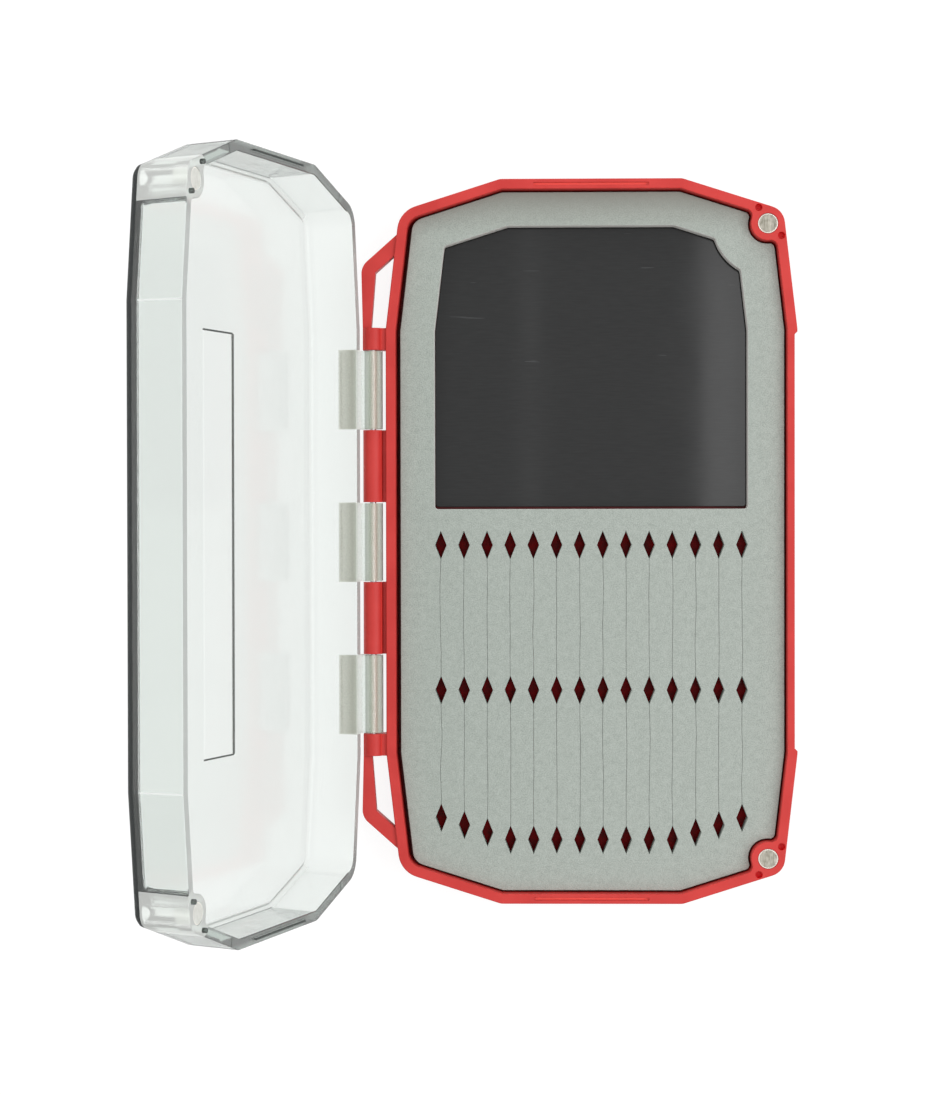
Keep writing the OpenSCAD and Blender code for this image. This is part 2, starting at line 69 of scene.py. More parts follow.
# The hinge: its axis. Then the lid's knuckles: spacing, half length, reach from the axis with the
# webs, reach of the row from the middle, and the strip across X that the painted light and shade
# run over.
HINGE_AXIS = (-54.6 * MM, 0, 8.45 * MM)
KNUCKLE_PITCH = 38 * MM
KNUCKLE_HALF = 9.9 * MM
KNUCKLE_WEB = 9.1 * MM
KNUCKLE_ROW = 50 * MM
KNUCKLE_STRIP = (-63.6 * MM, -51.6 * MM)

# The lid: depths run along the way that its open mouth faces, and are least at the panel.
LID_OUTWARD = (0.951, 0, 0.309)
LID_RIM = -51.47 * MM
LID_RIDGE = -51.05 * MM
LID_PEGS = -50.9 * MM
LID_PANEL = -63.6 * MM
LID_OUTSIDE = LID_PANEL - 1.2 * MM
LID_FOOT = LID_PANEL + 0.7 * MM
FOLD_START = LID_PANEL + 1.4 * MM

# Height above which the lid's wall away from the hinge lies. Then distances from the middle along
# Y: that wall's folds, the first pegs, the ridges of the two ends, and where the rim clears.
LATCH_WALL = 90 * MM
WALL_FOLD = 52.83 * MM
PEGS_START = 70 * MM
RIDGE_START = 86.5 * MM
RIM_CLEARS = (70 * MM, 82 * MM)

# A magnet's boss in the lid, with every coordinate taken as positive, and its radius.
LID_BOSS = (89.11 * MM, 79.2 * MM, 100.91 * MM)
BOSS_RADIUS = 6.4 * MM

# The sunk field: its ends along Y, its two long edges along Z, and the widths of its painted shade
# lines.
FIELD_END = 49.17 * MM
FIELD_EDGE = (52.65 * MM, 68.3 * MM)
FIELD_LINES = (0.23 * MM, 0.65 * MM)

# The foam: its window as half a width and two ends, whose cut walls get a painted highlight, and
# where the painted shade at its far end starts and stops.
WINDOW = (39.8 * MM, 7 * MM, 80 * MM)
SHADED_END = (77 * MM, 87 * MM)

# A slit between two diamonds: its steps, the length of a wave, and the noise between two columns.
SLIT_STEPS = 14
SLIT_WAVE = 11 * MM
SLIT_APART = 7.3

# Angles in degrees over which an edge stays hard, on moulded, cut and turned pieces.
MOULDED_EDGE = 34
CUT_EDGE = 40
TURNED_EDGE = 50

# Painted highlights and shade across a knuckle, from its web to the tray, as factors of its
# colour.
KNUCKLE_LIGHT_AND_SHADE = (
    (0.0, (0.8, 0.83, 0.85)),
    (0.1, (1.12, 1.13, 1.13)),
    (0.34, (0.62, 0.62, 0.55)),
    (0.41, (0.8, 0.82, 0.78)),
    (0.46, (1.5, 1.6, 1.75)),
    (0.57, (1.9, 2.0, 2.2)),
    (0.6, (0.42, 0.47, 0.44)),
    (0.7, (0.95, 1.02, 0.96)),
    (0.8, (1.05, 0.8, 0.74)),
    (0.86, (0.9, 0.92, 0.88)),
    (1.0, (0.6, 0.66, 0.66)),
)

# Plate of the magnets in each body: material, darkest and lightest colour, and metallic share.
PLATES = {
    "base": ("nickel", (0.17, 0.16, 0.125), (0.48, 0.455, 0.39), 0.9),
    "lid": ("pale_nickel", (0.57, 0.58, 0.53), (0.73, 0.75, 0.71), 0.3),
}

# Softboxes: name, place, width and length in metres, and share of the full power.
SOFTBOXES = (
    ("left_softbox", (-0.95, 0.1, 1.25), (0.9, 1.2), 0.5),
    ("right_softbox", (0.95, 0.0, 1.2), (0.9, 1.2), 1.05),
    ("far_softbox", (0.0, 1.35, 0.62), (1.2, 0.6), 0.62),
    ("right_panel", (0.218, 0.0, 1.6), (0.17, 1.2), 0.17),
    ("thin_strip", (-0.014, 0.0, 1.6), (0.017, 1.2), 0.004),
)

# The camera, fitted to the photograph: place, turns about Z, Y and X in degrees, and lens.
CAMERA_PLACE = (-15.83 * MM, 6.54 * MM, 665.96 * MM)
CAMERA_TURNS = (("Z", 0.082), ("Y", -1.156), ("X", 0.692))
SENSOR_WIDTH = 36
CAMERA_LENS = 99.524

# The studio's floor: half its width in metres, and how far it lies below the box.
FLOOR_HALF = 8.0
FLOOR_DROP = 0.05 * MM


class FlyBoxLooks(bpy.types.PropertyGroup):
    """What the pieces are made to look like."""

    tray_colour: bpy.props.FloatVectorProperty(
        name="Tray colour",
        description="Colour of the base tray where it is lightest",
        default=(0.585, 0.036, 0.031),
        min=0,
        max=1,
        subtype="COLOR",
    )
    foam_colour: bpy.props.FloatVectorProperty(
        name="Foam colour",
        description="Middle colour of the foam's skin",
        default=(0.354, 0.388, 0.355),
        min=0,
        max=1,
        subtype="COLOR",
    )
    sheet_colour: bpy.props.FloatVectorProperty(
        name="Sheet colour",
        description="Colour of the magnetic sheet where it is lightest",
        default=(0.0155, 0.0158, 0.0161),
        min=0,
        max=1,
        subtype="COLOR",
    )
    lid_tint: bpy.props.FloatVectorProperty(
        name="Lid tint",
        description="Colour that light takes on at the lid's surface",
        default=(0.985, 0.992, 0.985),
        min=0,
        max=1,
        subtype="COLOR",
    )
    edge_radius: bpy.props.FloatProperty(
        name="Edge radius",
        description="Radius that softens the shading of moulded edges",
        default=0.18 * MM,
        min=0,
        unit="LENGTH",
    )
    disc_edge: bpy.props.FloatProperty(
        name="Disc edge",
        description="Rounding of the edges of the magnets and of the magnetic sheet",
        default=0.12 * MM,
        min=0,
        unit="LENGTH",
    )
    # Width of the painted highlight round the magnets' edges
    magnet_highlight: bpy.props.FloatProperty(
        name="Magnet edge",
        description="Width of the bright edge of the plated magnets",
        default=0.42 * MM,
        min=0,
        unit="LENGTH",
    )
    foam_round: bpy.props.FloatProperty(
        name="Foam rounding",
        description="Radius of the foam's cut edges",
        default=0.12 * MM,
        min=0.05 * MM,
        unit="LENGTH",
    )
    slit_width: bpy.props.FloatProperty(
        name="Slit width",
        description="Width of the foam's slits below their rounded edges",
        default=0.05 * MM,
        min=0.02 * MM,
        unit="LENGTH",
    )
    slit_wander: bpy.props.FloatProperty(
        name="Slit wander",
        description="How far the knife strays from a straight slit",
        default=0.35 * MM,
        min=0,
        unit="LENGTH",
    )
    lid_haze: bpy.props.FloatProperty(
        name="Lid haze",
        description="Roughness of the clear lid",
        default=0.12,
        min=0,
        max=1,
        subtype="FACTOR",
    )
    lid_milk: bpy.props.FloatProperty(
        name="Lid milkiness",
        description="Share of the lid's surface that scatters the light",
        default=0.08,
        min=0,
        max=1,
        subtype="FACTOR",
    )
    knuckle_milk: bpy.props.FloatProperty(
        name="Knuckle milkiness",
        description="The same share on the matt knuckles of the lid",
        default=0.6,
        min=0,
        max=1,
        subtype="FACTOR",
    )
    sheet_sheen: bpy.props.FloatProperty(
        name="Sheet roughness",
        description="Roughness of the magnetic sheet's smooth skin",
        default=0.055,
        min=0,
        max=1,
        subtype="FACTOR",
    )
    daylight: bpy.props.FloatProperty(
        name="Room light",
        description="Strength of the even light from all round",
        default=0.62,
        min=0,
    )
    softbox: bpy.props.FloatProperty(
        name="Softbox power",
        description="Power of each large softbox",
        default=8.5,
        min=0,
        unit="POWER",
    )


# Node helpers


def add(tree, kind, sockets=None, **settings):
    """A new shader node with its sockets linked or set."""
    made = tree.nodes.new(kind)
    for name, value in settings.items():
        setattr(made, name, value)
    for name, value in (sockets or {}).items():
        if isinstance(value, bpy.types.NodeSocket):
            tree.links.new(value, made.inputs[name])
        else:
            made.inputs[name].default_value = value
    return made


def ramp(tree, factor, stops):
    """A colour ramp over a factor, from (position, colour) stops."""
    made = add(tree, "ShaderNodeValToRGB", {"Fac": factor})
    elements = made.color_ramp.elements
    while len(elements) < len(stops):
        elements.new(0.5)
    for element, (position, colour) in zip(elements, stops):
        element.position = position
        element.color = (*colour, 1)
    return made.outputs["Color"]


def ranged(tree, value, low, high, start=0.0, end=1.0):
    """A number that goes from start to end while a value goes from low to high."""
    made = add(
        tree,
        "ShaderNodeMapRange",
        {"Value": value, "From Min": low, "From Max": high, "To Min": start, "To Max": end},
    )
    return made.outputs["Result"]


def spread(tree, factor, low, high):
    """A noise factor, which keeps between about 0.3 and 0.7, spread from low to high."""
    return ranged(tree, factor, 0.3, 0.7, low, high)


def grain(tree, size, detail=2.0, stretch=(1, 1, 1)):
    """Noise whose features have a size in metres, drawn out along the axes by stretch."""
    where = add(tree, "ShaderNodeTexCoord").outputs["Object"]
    scale = tuple(1 / s for s in stretch)
    mapped = add(tree, "ShaderNodeMapping", {"Vector": where, "Scale": scale})
    made = add(
        tree,
        "ShaderNodeTexNoise",
        {"Vector": mapped.outputs["Vector"], "Scale": 1 / size, "Detail": detail},
    )
    return made.outputs["Fac"]


def bumps(tree, height, distance, normal=None):
    """Normals bent by a height that stands for a distance in metres."""
    sockets = {"Height": height, "Distance": distance}
    if normal is not None:
        sockets["Normal"] = normal
    return add(tree, "ShaderNodeBump", sockets).outputs["Normal"]


def number(tree, operation, *values):
    """The result of a Math node."""
    made = add(tree, "ShaderNodeMath", dict(enumerate(values)), operation=operation)
    return made.outputs["Value"]


def vector(tree, operation, *values):
    """The result of a Vector Math node: a number where it measures, and else a vector."""
    made = add(tree, "ShaderNodeVectorMath", dict(enumerate(values)), operation=operation)
    measures = operation in ("DISTANCE", "DOT_PRODUCT", "LENGTH")
    return made.outputs["Value" if measures else "Vector"]


def parts(tree, value):
    """The outputs X, Y and Z of a vector."""
    return add(tree, "ShaderNodeSeparateXYZ", {"Vector": value}).outputs


def coordinates(tree):
    """Where a point of a piece lies and which way its face looks, in the CAD's frame at rest."""
    coords = add(tree, "ShaderNodeTexCoord").outputs
    return coords["Object"], coords["Normal"]


def compared(tree, value, middle, half):
    """1 where a value is within half of the middle, and 0 elsewhere."""
    return number(tree, "COMPARE", value, middle, half)


def above(tree, value, limit):
    """1 where a value is over the limit, and 0 elsewhere."""
    return number(tree, "GREATER_THAN", value, limit)


def below(tree, value, limit):
    """1 where a value is under the limit, and 0 elsewhere."""
    return number(tree, "LESS_THAN", value, limit)


def all_of(tree, *masks):
    """1 where every mask is 1."""
    mask = masks[0]
    for other in masks[1:]:
        mask = number(tree, "MULTIPLY", mask, other)
    return mask


def either(tree, one, other):
    """1 where at least one of two masks is 1."""
    return number(tree, "MAXIMUM", one, other)


def layered(tree, value, layers):
    """A value with others laid over it, from (mask, value) pairs."""
    for mask, over in layers:
        made = add(tree, "ShaderNodeMix", {"Factor": mask, "A": value, "B": over})
        value = made.outputs["Result"]
    return value


def painted(tree, colour, layers):
    """A colour with others laid over it, from (mask, colour) pairs."""
    for mask, over in layers:
        if isinstance(over, tuple):
            over = (*over, 1)
        made = add(tree, "ShaderNodeMix", {"Factor": mask, 6: colour, 7: over}, data_type="RGBA")
        colour = made.outputs[2]
    return colour


def dyed(colour, red, green, blue):
    """A colour whose parts are changed by a factor each, with no part over 1."""
    return tuple(min(1.0, part * by) for part, by in zip(colour, (red, green, blue)))


def blended(tree, share, one, other):
    """Two shaders mixed, with a share of the other one."""
    made = add(tree, "ShaderNodeMixShader", {0: share, 1: one, 2: other})
    return made.outputs["Shader"]


def skinned(tree, colour, sockets):
    """The main shader of a surface with a base colour."""
    made = add(tree, "ShaderNodeBsdfPrincipled", {"Base Color": colour, **sockets})
    return made.outputs["BSDF"]


def new_material(name):
    """An empty node material and its tree."""
    material = bpy.data.materials.new(name)
    material.use_nodes = True
    material.node_tree.nodes.clear()
    return material, material.node_tree


def finish_material(tree, surface, volume=None):
    """Links the output of a material."""
    output = add(tree, "ShaderNodeOutputMaterial", {"Surface": surface})
    if volume is not None:
        tree.links.new(volume, output.inputs["Volume"])


# Materials


def level_face(tree, height):
    """1 on the faces that look up at a height, and 0 elsewhere."""
    where, normal = coordinates(tree)
    at_height = compared(tree, parts(tree, where)["Z"], height, 0.1 * MM)
    return all_of(tree, at_height, above(tree, parts(tree, normal)["Z"], 0.5))


def locating_holes(tree):
    """1 inside the holes of the tray's rim that take the lid's pegs, and 0 elsewhere."""
    where, _ = coordinates(tree)
    at = parts(tree, where)
    flat = vector(tree, "MULTIPLY", vector(tree, "ABSOLUTE", where), (1, 1, 0))
    holes = [
        below(tree, vector(tree, "DISTANCE", flat, spot), HOLE_RADIUS) for spot in LOCATING_HOLES
    ]
    inside = all_of(tree, below(tree, at["Z"], HOLE_MOUTH), above(tree, at["X"], 0))
    return all_of(tree, inside, either(tree, *holes))


def red_plastic(colour, edge_radius):
    """Moulded plastic, satin and faintly cloudy, with painted shade on the floor and painted light
    in the groove and the holes.
    """
    material, tree = new_material("red_plastic")
    cloud = grain(tree, 9 * MM, 3)
    spark = grain(tree, 0.22 * MM, 2)
    soft = add(tree, "ShaderNodeBevel", {"Radius": edge_radius}, samples=4)
    skin = ramp(tree, cloud, [(0.35, dyed(colour, 0.906, 0.75, 0.742)), (0.65, colour)])
    # Painted shade: the tray's floor, seen in the gaps round the foam and the sheet, is coloured
    # dark red.
    floor_shade = ramp(
        tree,
        cloud,
        [(0.35, dyed(colour, 0.171, 0.056, 0.097)), (0.65, dyed(colour, 0.239, 0.083, 0.129))],
    )
    # Painted light: the groove's floor and the holes are coloured lighter than the rim, against
    # their shade.
    groove_light = dyed(colour, 1.573, 2.5, 2.258)
    hole_light = dyed(colour, 1.368, 0, 0.194)
    zoned = painted(
        tree,
        skin,
        [
            (level_face(tree, FLOOR_HEIGHT), floor_shade),
            (level_face(tree, GROOVE_HEIGHT), groove_light),
            (locating_holes(tree), hole_light),
        ],
    )
    surface = skinned(
        tree,
        zoned,
        {
            "Roughness": spread(tree, spark, 0.42, 0.52),
            "IOR": 1.53,
            "Specular IOR Level": 0.32,
            "Subsurface Weight": 0.1,
            "Subsurface Radius": (1.0, 0.25, 0.2),
            "Subsurface Scale": 0.8 * MM,
            "Normal": bumps(tree, spark, 0.012 * MM, soft.outputs["Normal"]),
        },
    )
    finish_material(tree, surface)
    return material


def lid_zones(tree):
    """Masks of the lid's knuckles, bosses, walls, rim and field, by their places at rest."""
    where, normal = coordinates(tree)
    at = parts(tree, where)
    facing = parts(tree, normal)["Z"]
    beside = number(tree, "ABSOLUTE", at["Y"])
    depth = vector(tree, "DOT_PRODUCT", where, LID_OUTWARD)
    outward = vector(tree, "DOT_PRODUCT", normal, LID_OUTWARD)

    # Knuckles stand a pitch apart, and the distance to the nearest runs to and fro
    from_pin = vector(tree, "MULTIPLY", vector(tree, "SUBTRACT", where, HINGE_AXIS), (1, 0, 1))
    knuckles = all_of(
        tree,
        below(tree, vector(tree, "LENGTH", from_pin), KNUCKLE_WEB),
        below(tree, number(tree, "PINGPONG", at["Y"], KNUCKLE_PITCH / 2), KNUCKLE_HALF),
        below(tree, beside, KNUCKLE_ROW),
    )

    # With every coordinate positive, both bosses lie on one another
    folded = vector(tree, "ABSOLUTE", where)
    way = (-LID_OUTWARD[0], LID_OUTWARD[1], LID_OUTWARD[2])
    across = vector(tree, "CROSS_PRODUCT", vector(tree, "SUBTRACT", folded, LID_BOSS), way)
    away = vector(tree, "LENGTH", across)
    bosses = all_of(tree, below(tree, away, BOSS_RADIUS), above(tree, at["Z"], LATCH_WALL))

    # The wall away from the hinge has painted shade on its outer corner and painted highlights
    # along its folds, the others a pale foot
    latch = all_of(tree, above(tree, facing, 0.2), above(tree, at["Z"], LATCH_WALL))
    corner = all_of(tree, latch, below(tree, depth, LID_PANEL))
    folds = all_of(
        tree,
        latch,
        above(tree, facing, 0.6),
        above(tree, depth, FOLD_START),
        compared(tree, beside, WALL_FOLD, 0.2 * MM),
    )
    foot = all_of(tree, compared(tree, depth, LID_FOOT, 0.5 * MM), below(tree, facing, 0.45))

    # The rim's face, and what stands on it: the pegs and the ridges, which get painted shade
    rim = all_of(tree, compared(tree, depth, LID_RIM, 0.15 * MM), above(tree, outward, 0.8))
    pegs = all_of(
        tree, compared(tree, depth, LID_PEGS, 0.48 * MM), above(tree, beside, PEGS_START)
    )
    ridges = all_of(
        tree, compared(tree, depth, LID_RIDGE, 0.3 * MM), above(tree, beside, RIDGE_START)
    )

    # Painted shade lines along the field's two ends and along the long edge nearer to the hinge
    low, high = FIELD_EDGE
    end_line, side_line = FIELD_LINES
    ends = all_of(
        tree,
        compared(tree, beside, FIELD_END, end_line),
        compared(tree, at["Z"], (low + high) / 2, (high - low) / 2),
    )
    side = all_of(
        tree, compared(tree, at["Z"], low, side_line), below(tree, beside, FIELD_END)
    )
    outside = below(tree, depth, LID_OUTSIDE)
    return {
        "across": at["X"],
        "beside": beside,
        "knuckles": knuckles,
        "bosses": bosses,
        "corner": corner,
        "folds": folds,
        "foot": foot,
        "rim": rim,
        "pegs": pegs,
        "ridges": ridges,
        "field": all_of(tree, outside, either(tree, ends, side)),
    }


def knuckle_colour(tree, across):
    """Matt grey of the lid's knuckles, with painted highlights and shade that run along them."""
    etched = grain(tree, 0.3 * MM, 3)
    matt = ramp(tree, etched, [(0.3, (0.42, 0.417, 0.35)), (0.7, (0.62, 0.618, 0.535))])
    # Painted highlights and shade: a ramp across X multiplies the knuckles' grey.
    knuckle_light = ramp(tree, ranged(tree, across, *KNUCKLE_STRIP), KNUCKLE_LIGHT_AND_SHADE)
    made = add(
        tree,
        "ShaderNodeMix",
        {"Factor": 1.0, 6: matt, 7: knuckle_light},
        data_type="RGBA",
        blend_type="MULTIPLY",
        clamp_result=True,
    )
    return made.outputs[2]


def clear_plastic(tint, haze, milk, knuckle_milk):
    """Clear plastic, faintly milky on its skin and matt on its knuckles, darker with depth, and
    with painted light and shade in some zones.
    """
    material, tree = new_material("clear_plastic")
    flow = grain(tree, 16 * MM, 3, (0.4, 1, 1))
    handling = grain(tree, 4 * MM, 2)
    zones = lid_zones(tree)
    knuckles = zones["knuckles"]

    # Clear body: partly with reflections and partly without them
    haziness = spread(tree, handling, haze * 0.85, haze * 1.15)
    finish = {
        "Roughness": layered(tree, haziness, [(knuckles, 0.5)]),
        "IOR": 1.5,
        "Normal": bumps(tree, flow, 0.05 * MM),
    }
    glossy = skinned(tree, (*tint, 1), {"Transmission Weight": 1.0, **finish})
    dull = add(tree, "ShaderNodeBsdfRefraction", {"Color": (*tint, 1), **finish})
    body = blended(tree, 0.45, glossy, dull.outputs["BSDF"])

    # Skin that scatters, in a colour for each zone: painted highlights on the folds, painted shade
    # on the ridges, pegs, outer corner and field lines, and painted light and shade on the
    # knuckles. The field's lines show only through plastic
    path = add(tree, "ShaderNodeLightPath").outputs
    # Painted shade: the field's lines are coloured near black where they are seen through the
    # plastic.
    through = all_of(tree, zones["field"], below(tree, path["Is Camera Ray"], 0.5))
    skin = ramp(tree, flow, [(0.3, (0.84, 0.875, 0.85)), (0.7, (0.87, 0.9, 0.88))])
    cloudy = painted(
        tree,
        skin,
        [
            (zones["folds"], (0.95, 0.96, 0.95)),
            (zones["bosses"], (0.9, 0.92, 0.89)),
            (zones["ridges"], (0.2, 0.23, 0.21)),
            (zones["pegs"], (0.08, 0.09, 0.085)),
            (zones["corner"], (0.065, 0.07, 0.07)),
            (knuckles, knuckle_colour(tree, zones["across"])),
            (through, (0.03, 0.035, 0.033)),
        ],
    )
    scatter = add(tree, "ShaderNodeBsdfDiffuse", {"Color": cloudy})
    rim_milk = ranged(tree, zones["beside"], *RIM_CLEARS, 0.5, 0.18)
    share = layered(
        tree,
        milk,
        [
            (zones["foot"], 0.45),
            (zones["rim"], rim_milk),
            (zones["ridges"], 0.5),
            (zones["folds"], 0.32),
            (zones["bosses"], 0.5),
            (zones["pegs"], 0.6),
            (zones["corner"], 0.62),
            (knuckles, knuckle_milk),
        ],
    )
    seen = all_of(tree, share, path["Is Camera Ray"])
    edged = layered(tree, seen, [(through, 0.9)])
    solid = blended(tree, edged, body, scatter.outputs["BSDF"])

    # Lamps shine through it instead of casting the shadow of glass
    passing = add(tree, "ShaderNodeBsdfTransparent", {"Color": (0.93, 0.945, 0.935, 1)})
    indirect = either(tree, path["Is Shadow Ray"], path["Is Diffuse Ray"])
    surface = blended(tree, indirect, solid, passing.outputs["BSDF"])
    depths = add(
        tree, "ShaderNodeVolumeAbsorption", {"Color": (0.85, 0.873, 0.862, 1), "Density": 380}
    )
    finish_material(tree, surface, depths.outputs["Volume"])
    return material


def closed_cell_foam(colour):
    """Foam skin: fine cells, a faint mottle and a dull face, with painted shade at its far end and
    a painted highlight on its window's cut walls.
    """
    material, tree = new_material("closed_cell_foam")
    cells = grain(tree, 0.26 * MM, 5)
    mottle = grain(tree, 1.6 * MM, 3)
    sag = grain(tree, 14 * MM, 2)
    pores = number(tree, "MULTIPLY_ADD", cells, 0.8, number(tree, "MULTIPLY", mottle, 0.2))
    skin = ramp(
        tree,
        pores,
        [
            (0.36, dyed(colour, 0.805, 0.812, 0.808)),
            (0.5, colour),
            (0.64, dyed(colour, 1.169, 1.16, 1.169)),
        ],
    )
    where, normal = coordinates(tree)
    at = parts(tree, where)
    # Painted highlight: the window's cut walls are coloured lighter than the skin.
    side, near, far = WINDOW
    window = all_of(
        tree,
        below(tree, parts(tree, normal)["Z"], 0.85),
        below(tree, number(tree, "ABSOLUTE", at["X"]), side),
        compared(tree, at["Y"], (near + far) / 2, (far - near) / 2),
    )
    # Painted shade: the skin darkens towards the far end, under the rim.
    wear_and_end_shade = ranged(tree, at["Y"], *SHADED_END, 0.0, 0.9)
    zoned = painted(
        tree,
        skin,
        [(wear_and_end_shade, dyed(colour, 0.692, 0.644, 0.625)), (window, dyed(colour, 1.808, 1.611, 1.662))],
    )
    surface = skinned(
        tree,
        zoned,
        {
            "Roughness": 0.92,
            "Specular IOR Level": 0.25,
            "Sheen Weight": 0.1,
            "Sheen Roughness": 0.6,
            "Normal": bumps(tree, pores, 0.09 * MM, bumps(tree, sag, 0.3 * MM)),
        },
    )
    finish_material(tree, surface)
    return material


def magnet_sheet(colour, roughness):
    """Dark flexible magnet: finely rolled across, under a smooth skin with a scratch or two."""
    material, tree = new_material("magnet_sheet")
    rolled = grain(tree, 0.35 * MM, 3, (12, 1, 1))
    wear_and_end_shade = grain(tree, 12 * MM, 2)
    scratch = grain(tree, 6 * MM, 1, (1.9, 0.12, 1))
    mark = ramp(tree, scratch, [(0.0, (0, 0, 0)), (0.775, (0, 0, 0)), (0.79, (1, 1, 1))])
    lines = ramp(tree, rolled, [(0.3, dyed(colour, 0.742, 0.747, 0.752)), (0.7, colour)])
    surface = skinned(
        tree,
        painted(tree, lines, [(mark, (0.034, 0.035, 0.036))]),
        {
            "Roughness": 0.7,
            "Specular IOR Level": 0.15,
            "Coat Weight": 0.6,
            "Coat Roughness": spread(tree, wear_and_end_shade, roughness * 0.85, roughness * 1.3),
            "Normal": bumps(tree, rolled, 0.01 * MM),
        },
    )
    finish_material(tree, surface)
    return material


def nickel(highlight_width, name, darkest, lightest, metallic):
    """Nickel plate on a sintered magnet, brushed along its faces, with a painted highlight round
    its edge.
    """
    material, tree = new_material(name)
    brushed = grain(tree, 0.16 * MM, 3, (1, 9, 1))
    patch = grain(tree, 1.5 * MM, 2)
    face = ramp(
        tree, layered(tree, patch, [(0.6, brushed)]), [(0.35, darkest), (0.65, lightest)]
    )
    # Painted highlight: a pale colour where the bevel bends the normal at the rounded edge.
    rounded = add(tree, "ShaderNodeBevel", {"Radius": highlight_width}, samples=6).outputs["Normal"]
    flat = add(tree, "ShaderNodeNewGeometry").outputs["True Normal"]
    alike = vector(tree, "DOT_PRODUCT", rounded, flat)
    edge = ramp(tree, alike, [(0.985, (1, 1, 1)), (0.9995, (0, 0, 0))])
    surface = skinned(
        tree,
        painted(tree, face, [(edge, (0.93, 0.89, 0.82))]),
        {
            "Metallic": metallic,
            "Roughness": spread(tree, brushed, 0.28, 0.42),
            "Normal": bumps(tree, brushed, 0.02 * MM),
        },
    )
    finish_material(tree, surface)
    return material


def drawn_steel():
    """Steel wire with the fine lines of its drawing."""
    material, tree = new_material("drawn_steel")
    lines = grain(tree, 0.12 * MM, 2, (1, 40, 1))
    surface = skinned(
        tree,
        ramp(tree, lines, [(0.3, (0.5, 0.5, 0.51)), (0.7, (0.72, 0.72, 0.73))]),
        {
            "Metallic": 1.0,
            "Roughness": spread(tree, lines, 0.2, 0.38),
            "Normal": bumps(tree, lines, 0.004 * MM),
        },
    )
    finish_material(tree, surface)
    return material


def adhesive_film():
    """Thin glue film, coloured dark red as painted shade, like the shaded floor of the tray."""
    material, tree = new_material("adhesive_film")
    wrinkle = grain(tree, 2.5 * MM, 3)
    # Painted shade: the film's dark red stands for the shade in the foam's holes and gaps.
    surface = skinned(
        tree,
        ramp(tree, wrinkle, [(0.3, (0.14, 0.003, 0.004)), (0.7, (0.4, 0.006, 0.009))]),
        {
            "Roughness": spread(tree, wrinkle, 0.3, 0.5),
            "Specular IOR Level": 0.06,
            "Normal": bumps(tree, wrinkle, 0.05 * MM),
        },
    )
    finish_material(tree, surface)
    return material


# Meshes


def welded(node):
    """A CAD node's mesh with one vertex at each of its corners."""
    bm = bmesh.new()
    bm.from_mesh(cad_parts[node].data)
    bmesh.ops.remove_doubles(bm, verts=bm.verts, dist=0.002 * MM)
    return bm


def new_piece(name, mesh):
    """A mesh as an object of the scene."""
    piece = bpy.data.objects.new(name, mesh)
    bpy.context.scene.collection.objects.link(piece)
    return piece


def moulded(node, name, sharp):
    """A piece with a CAD node's shape, its flat faces whole and its round ones smooth.

    Edges that turn by more than sharp, in degrees, stay hard.
    """
    bm = welded(node)
    bmesh.ops.dissolve_limit(
        bm, angle_limit=radians(0.3), verts=bm.verts, edges=bm.edges, use_dissolve_boundaries=False
    )
    bm.verts.index_update()
    mesh = bpy.data.meshes.new(name)
    mesh.from_pydata(
        [v.co[:] for v in bm.verts], [], [[v.index for v in face.verts] for face in bm.faces]
    )
    bm.free()
    mesh.shade_smooth()
    mesh.set_sharp_from_angle(angle=radians(sharp))
    return new_piece(name, mesh)


def place(piece, material, body, slot, *nodes):
    """Dresses a piece and puts it on its body, in place of its CAD nodes."""
    piece.data.materials.clear()
    piece.data.materials.append(material)
    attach(piece, body)
    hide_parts(*nodes)


def even_shading(piece):
    """Normals that keep large flat faces flat beside rounded ones."""
    piece.modifiers.new("Normals", "WEIGHTED_NORMAL").keep_sharp = True


def round_edges(piece, width):
    """Rounds the hard edges of a piece."""
    bevel = piece.modifiers.new("Edges", "BEVEL")
    bevel.width = width
    bevel.segments = 3
    bevel.limit_method = "ANGLE"
    bevel.angle_limit = radians(TURNED_EDGE)
    even_shading(piece)


def face_loops(node, height):
    """The closed edges of a CAD node's flat face at a height, each as a list of points."""
    bm = welded(node)
    follow = {}
    for face in bm.faces:
        if abs(face.normal.z) > 0.99 and abs(face.calc_center_median().z - height) < 0.01 * MM:
            for loop in face.loops:
                over = loop.link_loop_radial_next.face
                if abs(over.normal.z) < 0.5:
                    follow[loop.vert] = loop.link_loop_next.vert
    loops = []
    while follow:
        start, at = follow.popitem()
        points = [start.co.to_2d()]
        while at != start:
            points.append(at.co.to_2d())
            at = follow.pop(at)
        loops.append(points)
    bm.free()
    return loops


def wander(column, y, amount):
    """How far a slit strays from straight at y: each column reads its own row of smooth noise."""
    return amount * noise.noise(Vector((column * SLIT_APART, y / SLIT_WAVE, 0.5)))


def slit_sides(column, x, top, bottom, width, amount):
    """Left side of a slit on its way down and right side on its way up, wandering alike.

    The wandering fades out in the last quarter at each end, where the slit meets its diamonds.
    """
    middles = []
    for k in range(SLIT_STEPS + 1):
        y = top + (bottom - top) * k / SLIT_STEPS
        fade = min(1.0, 4 * min(k, SLIT_STEPS - k) / SLIT_STEPS)
        middles.append((x + fade * wander(column, y, amount), y))
    left = [Vector((mx - width / 2, y)) for mx, y in middles]
    right = [Vector((mx + width / 2, y)) for mx, y in reversed(middles)]
    return left, right


